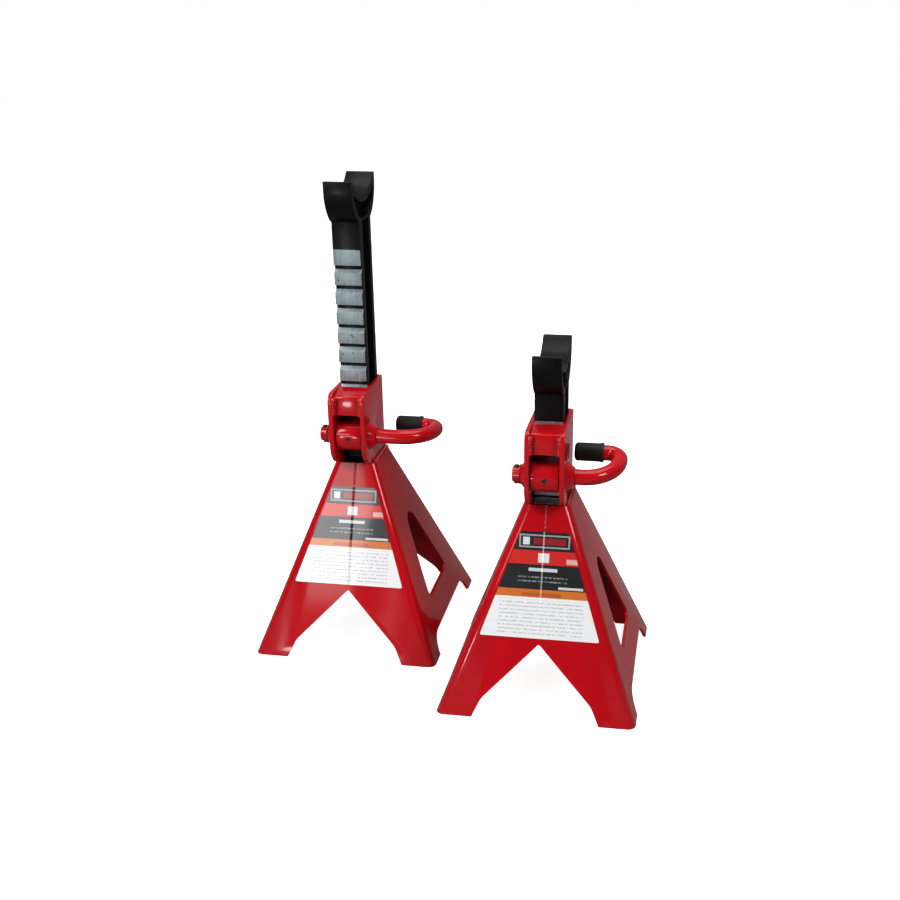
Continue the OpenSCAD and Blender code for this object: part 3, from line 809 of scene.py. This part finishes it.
def make_column(stand, finishes):
    """The toothed casting. Its crests and ramps are rubbed bright and the rest is painted; the lower teeth,
    worn too, stay black as painted shade inside the tower.
    """
    column = blank_from(node(stand, "column"), node(stand, "cast_column"))
    top_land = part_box(node(stand, "column"))[0].z + TAIL + TEETH * PITCH
    # Worn teeth below this height keep the black paint: painted shade for the dim inside of the tower.
    painted_shade_top = top_land - BRIGHT_TEETH_ABOVE_SHADE * PITCH
    soften(column, CAST)
    open_edit(column)
    bpy.ops.mesh.select_all(action="SELECT")
    bpy.ops.mesh.bisect(plane_co=Z * top_land, plane_no=Z)
    close_edit()
    smooth(column)
    crest = stand.middle.y - CREST
    facing_front, facing_up = 0.45, 0.3
    column.data.materials.append(finishes.black)
    column.data.materials.append(finishes.tooth)
    for face in column.data.polygons:
        toothed = painted_shade_top < face.center.z < top_land and face.center.y < crest + TOOTH - CLOSE
        rubbed = face.center.y < crest + 3 * CLOSE or face.normal.z > facing_up
        if toothed and rubbed and -face.normal.y > facing_front:
            face.material_index = 1
    fit(column, node(stand, "column"), "black_casting", [], node(stand, "column"))


def make_pawl(stand, finishes):
    """The cast pawl on the lever's rod."""
    pawl = blank_from(node(stand, "pawl"), node(stand, "cast_pawl"))
    soften(pawl, CAST)
    fit(pawl, node(stand, "lever"), "red_paint", [finishes.red], node(stand, "pawl"))


def make_rod(stand, finishes):
    """The bent bar, drawn level from its left end round two bends and then tilted about the pivot."""
    reach, tilt = LEVERS[stand.side]
    start = stand.pivot - X * ROD_LEFT
    near = stand.pivot + Vector((reach - NEAR_BEND, NEAR_BEND, 0))
    far = stand.pivot + Vector((reach - FAR_BEND, HANDLE - FAR_BEND, 0))
    rod = round_end(node(stand, "bent_rod"), start, math.pi / 2, ROD)
    open_edit(rod)
    bpy.ops.mesh.select_all(action="SELECT")
    pull_picked(X * (near.x - start.x))
    for middle, straight in ((near, Y * (far.y - near.y)), (far, -X * FREE_LEG)):
        bpy.ops.mesh.spin(steps=20, angle=math.pi / 2, center=middle, axis=-Z)
        pull_picked(straight)
    bpy.ops.mesh.select_all(action="SELECT")
    bpy.ops.mesh.remove_doubles(threshold=CLOSE / 10)
    bpy.ops.mesh.normals_make_consistent(inside=False)
    close_edit()
    tilt_about_pivot(rod, stand, tilt)
    soften(rod, BENT)
    fit(rod, node(stand, "lever"), "red_paint", [finishes.red], node(stand, "lever_rod"))


def tilt_about_pivot(piece, stand, tilt):
    """Turns a piece of the lever about the rod's axis."""
    turn = Matrix.Rotation(math.radians(tilt), 4, "X")
    piece.data.transform(Matrix.Translation(stand.pivot) @ turn @ Matrix.Translation(-stand.pivot))


def make_grip(stand, finishes):
    """The dipped sleeve on the free leg: a domed closed end, a straight part and a thick lip."""
    reach, tilt = LEVERS[stand.side]
    end = stand.pivot + Vector((reach - FAR_BEND - FREE_LEG - GRIP_END, HANDLE, 0))
    grip = round_end(node(stand, "grip_sleeve"), end, -math.pi / 2, ROD + GRIP_WALL)
    open_edit(grip)
    bpy.ops.mesh.select_all(action="SELECT")
    pull_picked(X * (GRIP - GRIP_LIP - LIP_STEP))
    pull_picked(X * LIP_STEP)
    scale_picked((1, LIP_FLARE, LIP_FLARE), end)
    pull_picked(X * GRIP_LIP)
    bpy.ops.mesh.select_all(action="SELECT")
    bpy.ops.mesh.normals_make_consistent(inside=False)
    pick_edges(grip, lambda at, way: abs(at.x - end.x) < CLOSE and abs(way.x) < 1 - ALONG)
    bpy.ops.mesh.bevel(offset=GRIP_DOME, segments=6, offset_type="OFFSET")
    close_edit()
    tilt_about_pivot(grip, stand, tilt)
    soften(grip, MOULDED)
    fit(grip, node(stand, "lever"), "grip", [finishes.rubber], node(stand, "grip"))


def pin_ends(stand, part, way):
    """Both ends of a pin that lies along one axis."""
    low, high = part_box(node(stand, part))
    middle, half = (low + high) / 2, way * way.dot(high - low) / 2
    return middle - half, middle + half


def make_pins(stand, finishes):
    """The spring pin through the pawl, the cotter at the rod's end and the washer beside it."""
    for part, way in (("pawl_pin", Y), ("end_pin", Z)):
        cad_low, cad_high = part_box(node(stand, part))
        radius = (cad_high.x - cad_low.x) / 2
        pin = turned_pin(node(stand, "turned_" + part), *pin_ends(stand, part, way), radius)
        open_edit(pin)
        pick_faces(pin, lambda at, normal: abs(normal.dot(way)) > ALONG)
        bpy.ops.mesh.inset(thickness=radius - PIN_BORES[part], use_individual=True)
        bpy.ops.mesh.extrude_faces_move(TRANSFORM_OT_shrink_fatten={"value": -PIN_BORE_DEEP})
        close_edit()
        soften(pin, TURNED, 2)
        fit(pin, node(stand, "lever"), "bare_steel", [finishes.steel], node(stand, part))
    washer = blank_from(node(stand, "washer"), node(stand, "stamped_washer"))
    soften(washer, TURNED, 2)
    fit(washer, node(stand, "lever"), "red_paint", [finishes.red], node(stand, "washer"))


def make_stand(side, finishes):
    """Every visible piece of one stand."""
    stand = measure(side)
    make_base(stand, finishes)
    make_seams(stand, finishes)
    make_label(stand, finishes)
    make_tower(stand, finishes)
    make_cap_welds(stand, finishes)
    make_foot_weld(stand, finishes)
    make_column(stand, finishes)
    make_pawl(stand, finishes)
    make_rod(stand, finishes)
    make_grip(stand, finishes)
    make_pins(stand, finishes)


# ---------------------------------------------------------------- room, light and camera


# Soft boxes: name, place, point aimed at, size and power.
LIGHTS = [
    ("key", (-1.3, -1.3, 1.7), (0, 0, 0.15), (0.9, 0.9), 30),
    ("fill", (1.7, -1.3, 1.5), (0, 0, 0.15), (0.7, 0.7), 25),
    ("top", (0, 0.2, 2.2), (0, 0, 0.15), (1.6, 1.6), 28),
    ("panel", (-0.6, -1.15, 0.56), (-0.085, 0, 0.1), (0.4, 0.3), 1.9),
    ("low_panel", (-0.42, -1.15, 0.08), (-0.085, 0, 0.2), (0.2, 0.12), 1.8),
]


def make_camera():
    """The camera, in front of the stands and a little to their right."""
    data = bpy.data.cameras.new("camera")
    data.sensor_width = 36
    data.lens = 48.5
    data.shift_x, data.shift_y = -0.0692, 0.0706
    data.clip_start = 0.05
    data.clip_end = 20
    camera = bpy.data.objects.new("camera", data)
    camera.location = (0.1896, -0.9060, 0.5049)
    camera.rotation_euler = (math.radians(67.25), 0, math.radians(8.81))
    bpy.context.scene.collection.objects.link(camera)
    bpy.context.scene.camera = camera


def make_floor():
    """A wide sheet of matt white paper, darker in what mirrors it, so that the enamel stays deep."""
    leave_all()
    bpy.ops.mesh.primitive_plane_add(size=12, location=(0, 0, -0.05 * MM))
    floor = settled("floor")
    paper, tree, shader = finish_named("paper", Roughness=0.9, Specular_IOR_Level=0.1)
    place = add(tree, "TexCoord").outputs["Object"]
    fibre = add(tree, "TexNoise", {"Vector": place, "Scale": 40, "Detail": 4}).outputs["Fac"]
    white = blend_colour(tree, fibre, (0.82, 0.82, 0.82, 1), (0.79, 0.79, 0.79, 1))
    seen = add(tree, "LightPath").outputs["Is Camera Ray"]
    tree.links.new(blend_colour(tree, seen, (0.2, 0.2, 0.2, 1), white), shader.inputs["Base Color"])
    shader.inputs["Emission Color"].default_value = (1, 1, 1, 1)
    lift = calc(tree, "MULTIPLY_ADD", seen, 0.87, 0.03)
    tree.links.new(lift, shader.inputs["Emission Strength"])
    floor.data.materials.append(paper)


def soft_light(name, place, target, size, power):
    """A rectangular soft box aimed at a point."""
    data = bpy.data.lights.new(name, "AREA")
    data.shape = "RECTANGLE"
    data.size, data.size_y = size
    data.energy = power
    light = bpy.data.objects.new(name, data)
    light.location = place
    light.rotation_euler = (Vector(target) - Vector(place)).to_track_quat("-Z", "Y").to_euler()
    bpy.context.scene.collection.objects.link(light)


def make_backdrop():
    """A white room that is bright behind the stands and dark in front of them, as the enamel mirrors it."""
    world = bpy.data.worlds.new("studio")
    world.use_nodes = True
    tree = world.node_tree
    way = add(tree, "TexCoord").outputs["Generated"]
    depth = add(tree, "SeparateXYZ", {0: way}).outputs["Y"]
    behind = ramp(tree, depth, -0.1, 0.6)
    glow = calc(tree, "MULTIPLY_ADD", behind, 0.28, 0.02)
    seen = add(tree, "LightPath").outputs["Is Camera Ray"]
    strength = calc(tree, "MAXIMUM", seen, glow)
    room = tree.nodes["Background"]
    room.inputs["Color"].default_value = (1, 1, 1, 1)
    tree.links.new(strength, room.inputs["Strength"])
    bpy.context.scene.world = world


def make_studio():
    """The white room and its soft boxes. The two panels are what the left stand mirrors."""
    make_backdrop()
    bpy.context.scene.view_settings.view_transform = "Standard"
    for light in LIGHTS:
        soft_light(*light)


make_camera()
made_finishes = make_finishes()
for each_side in ("left", "right"):
    make_stand(each_side, made_finishes)
make_floor()
make_studio()
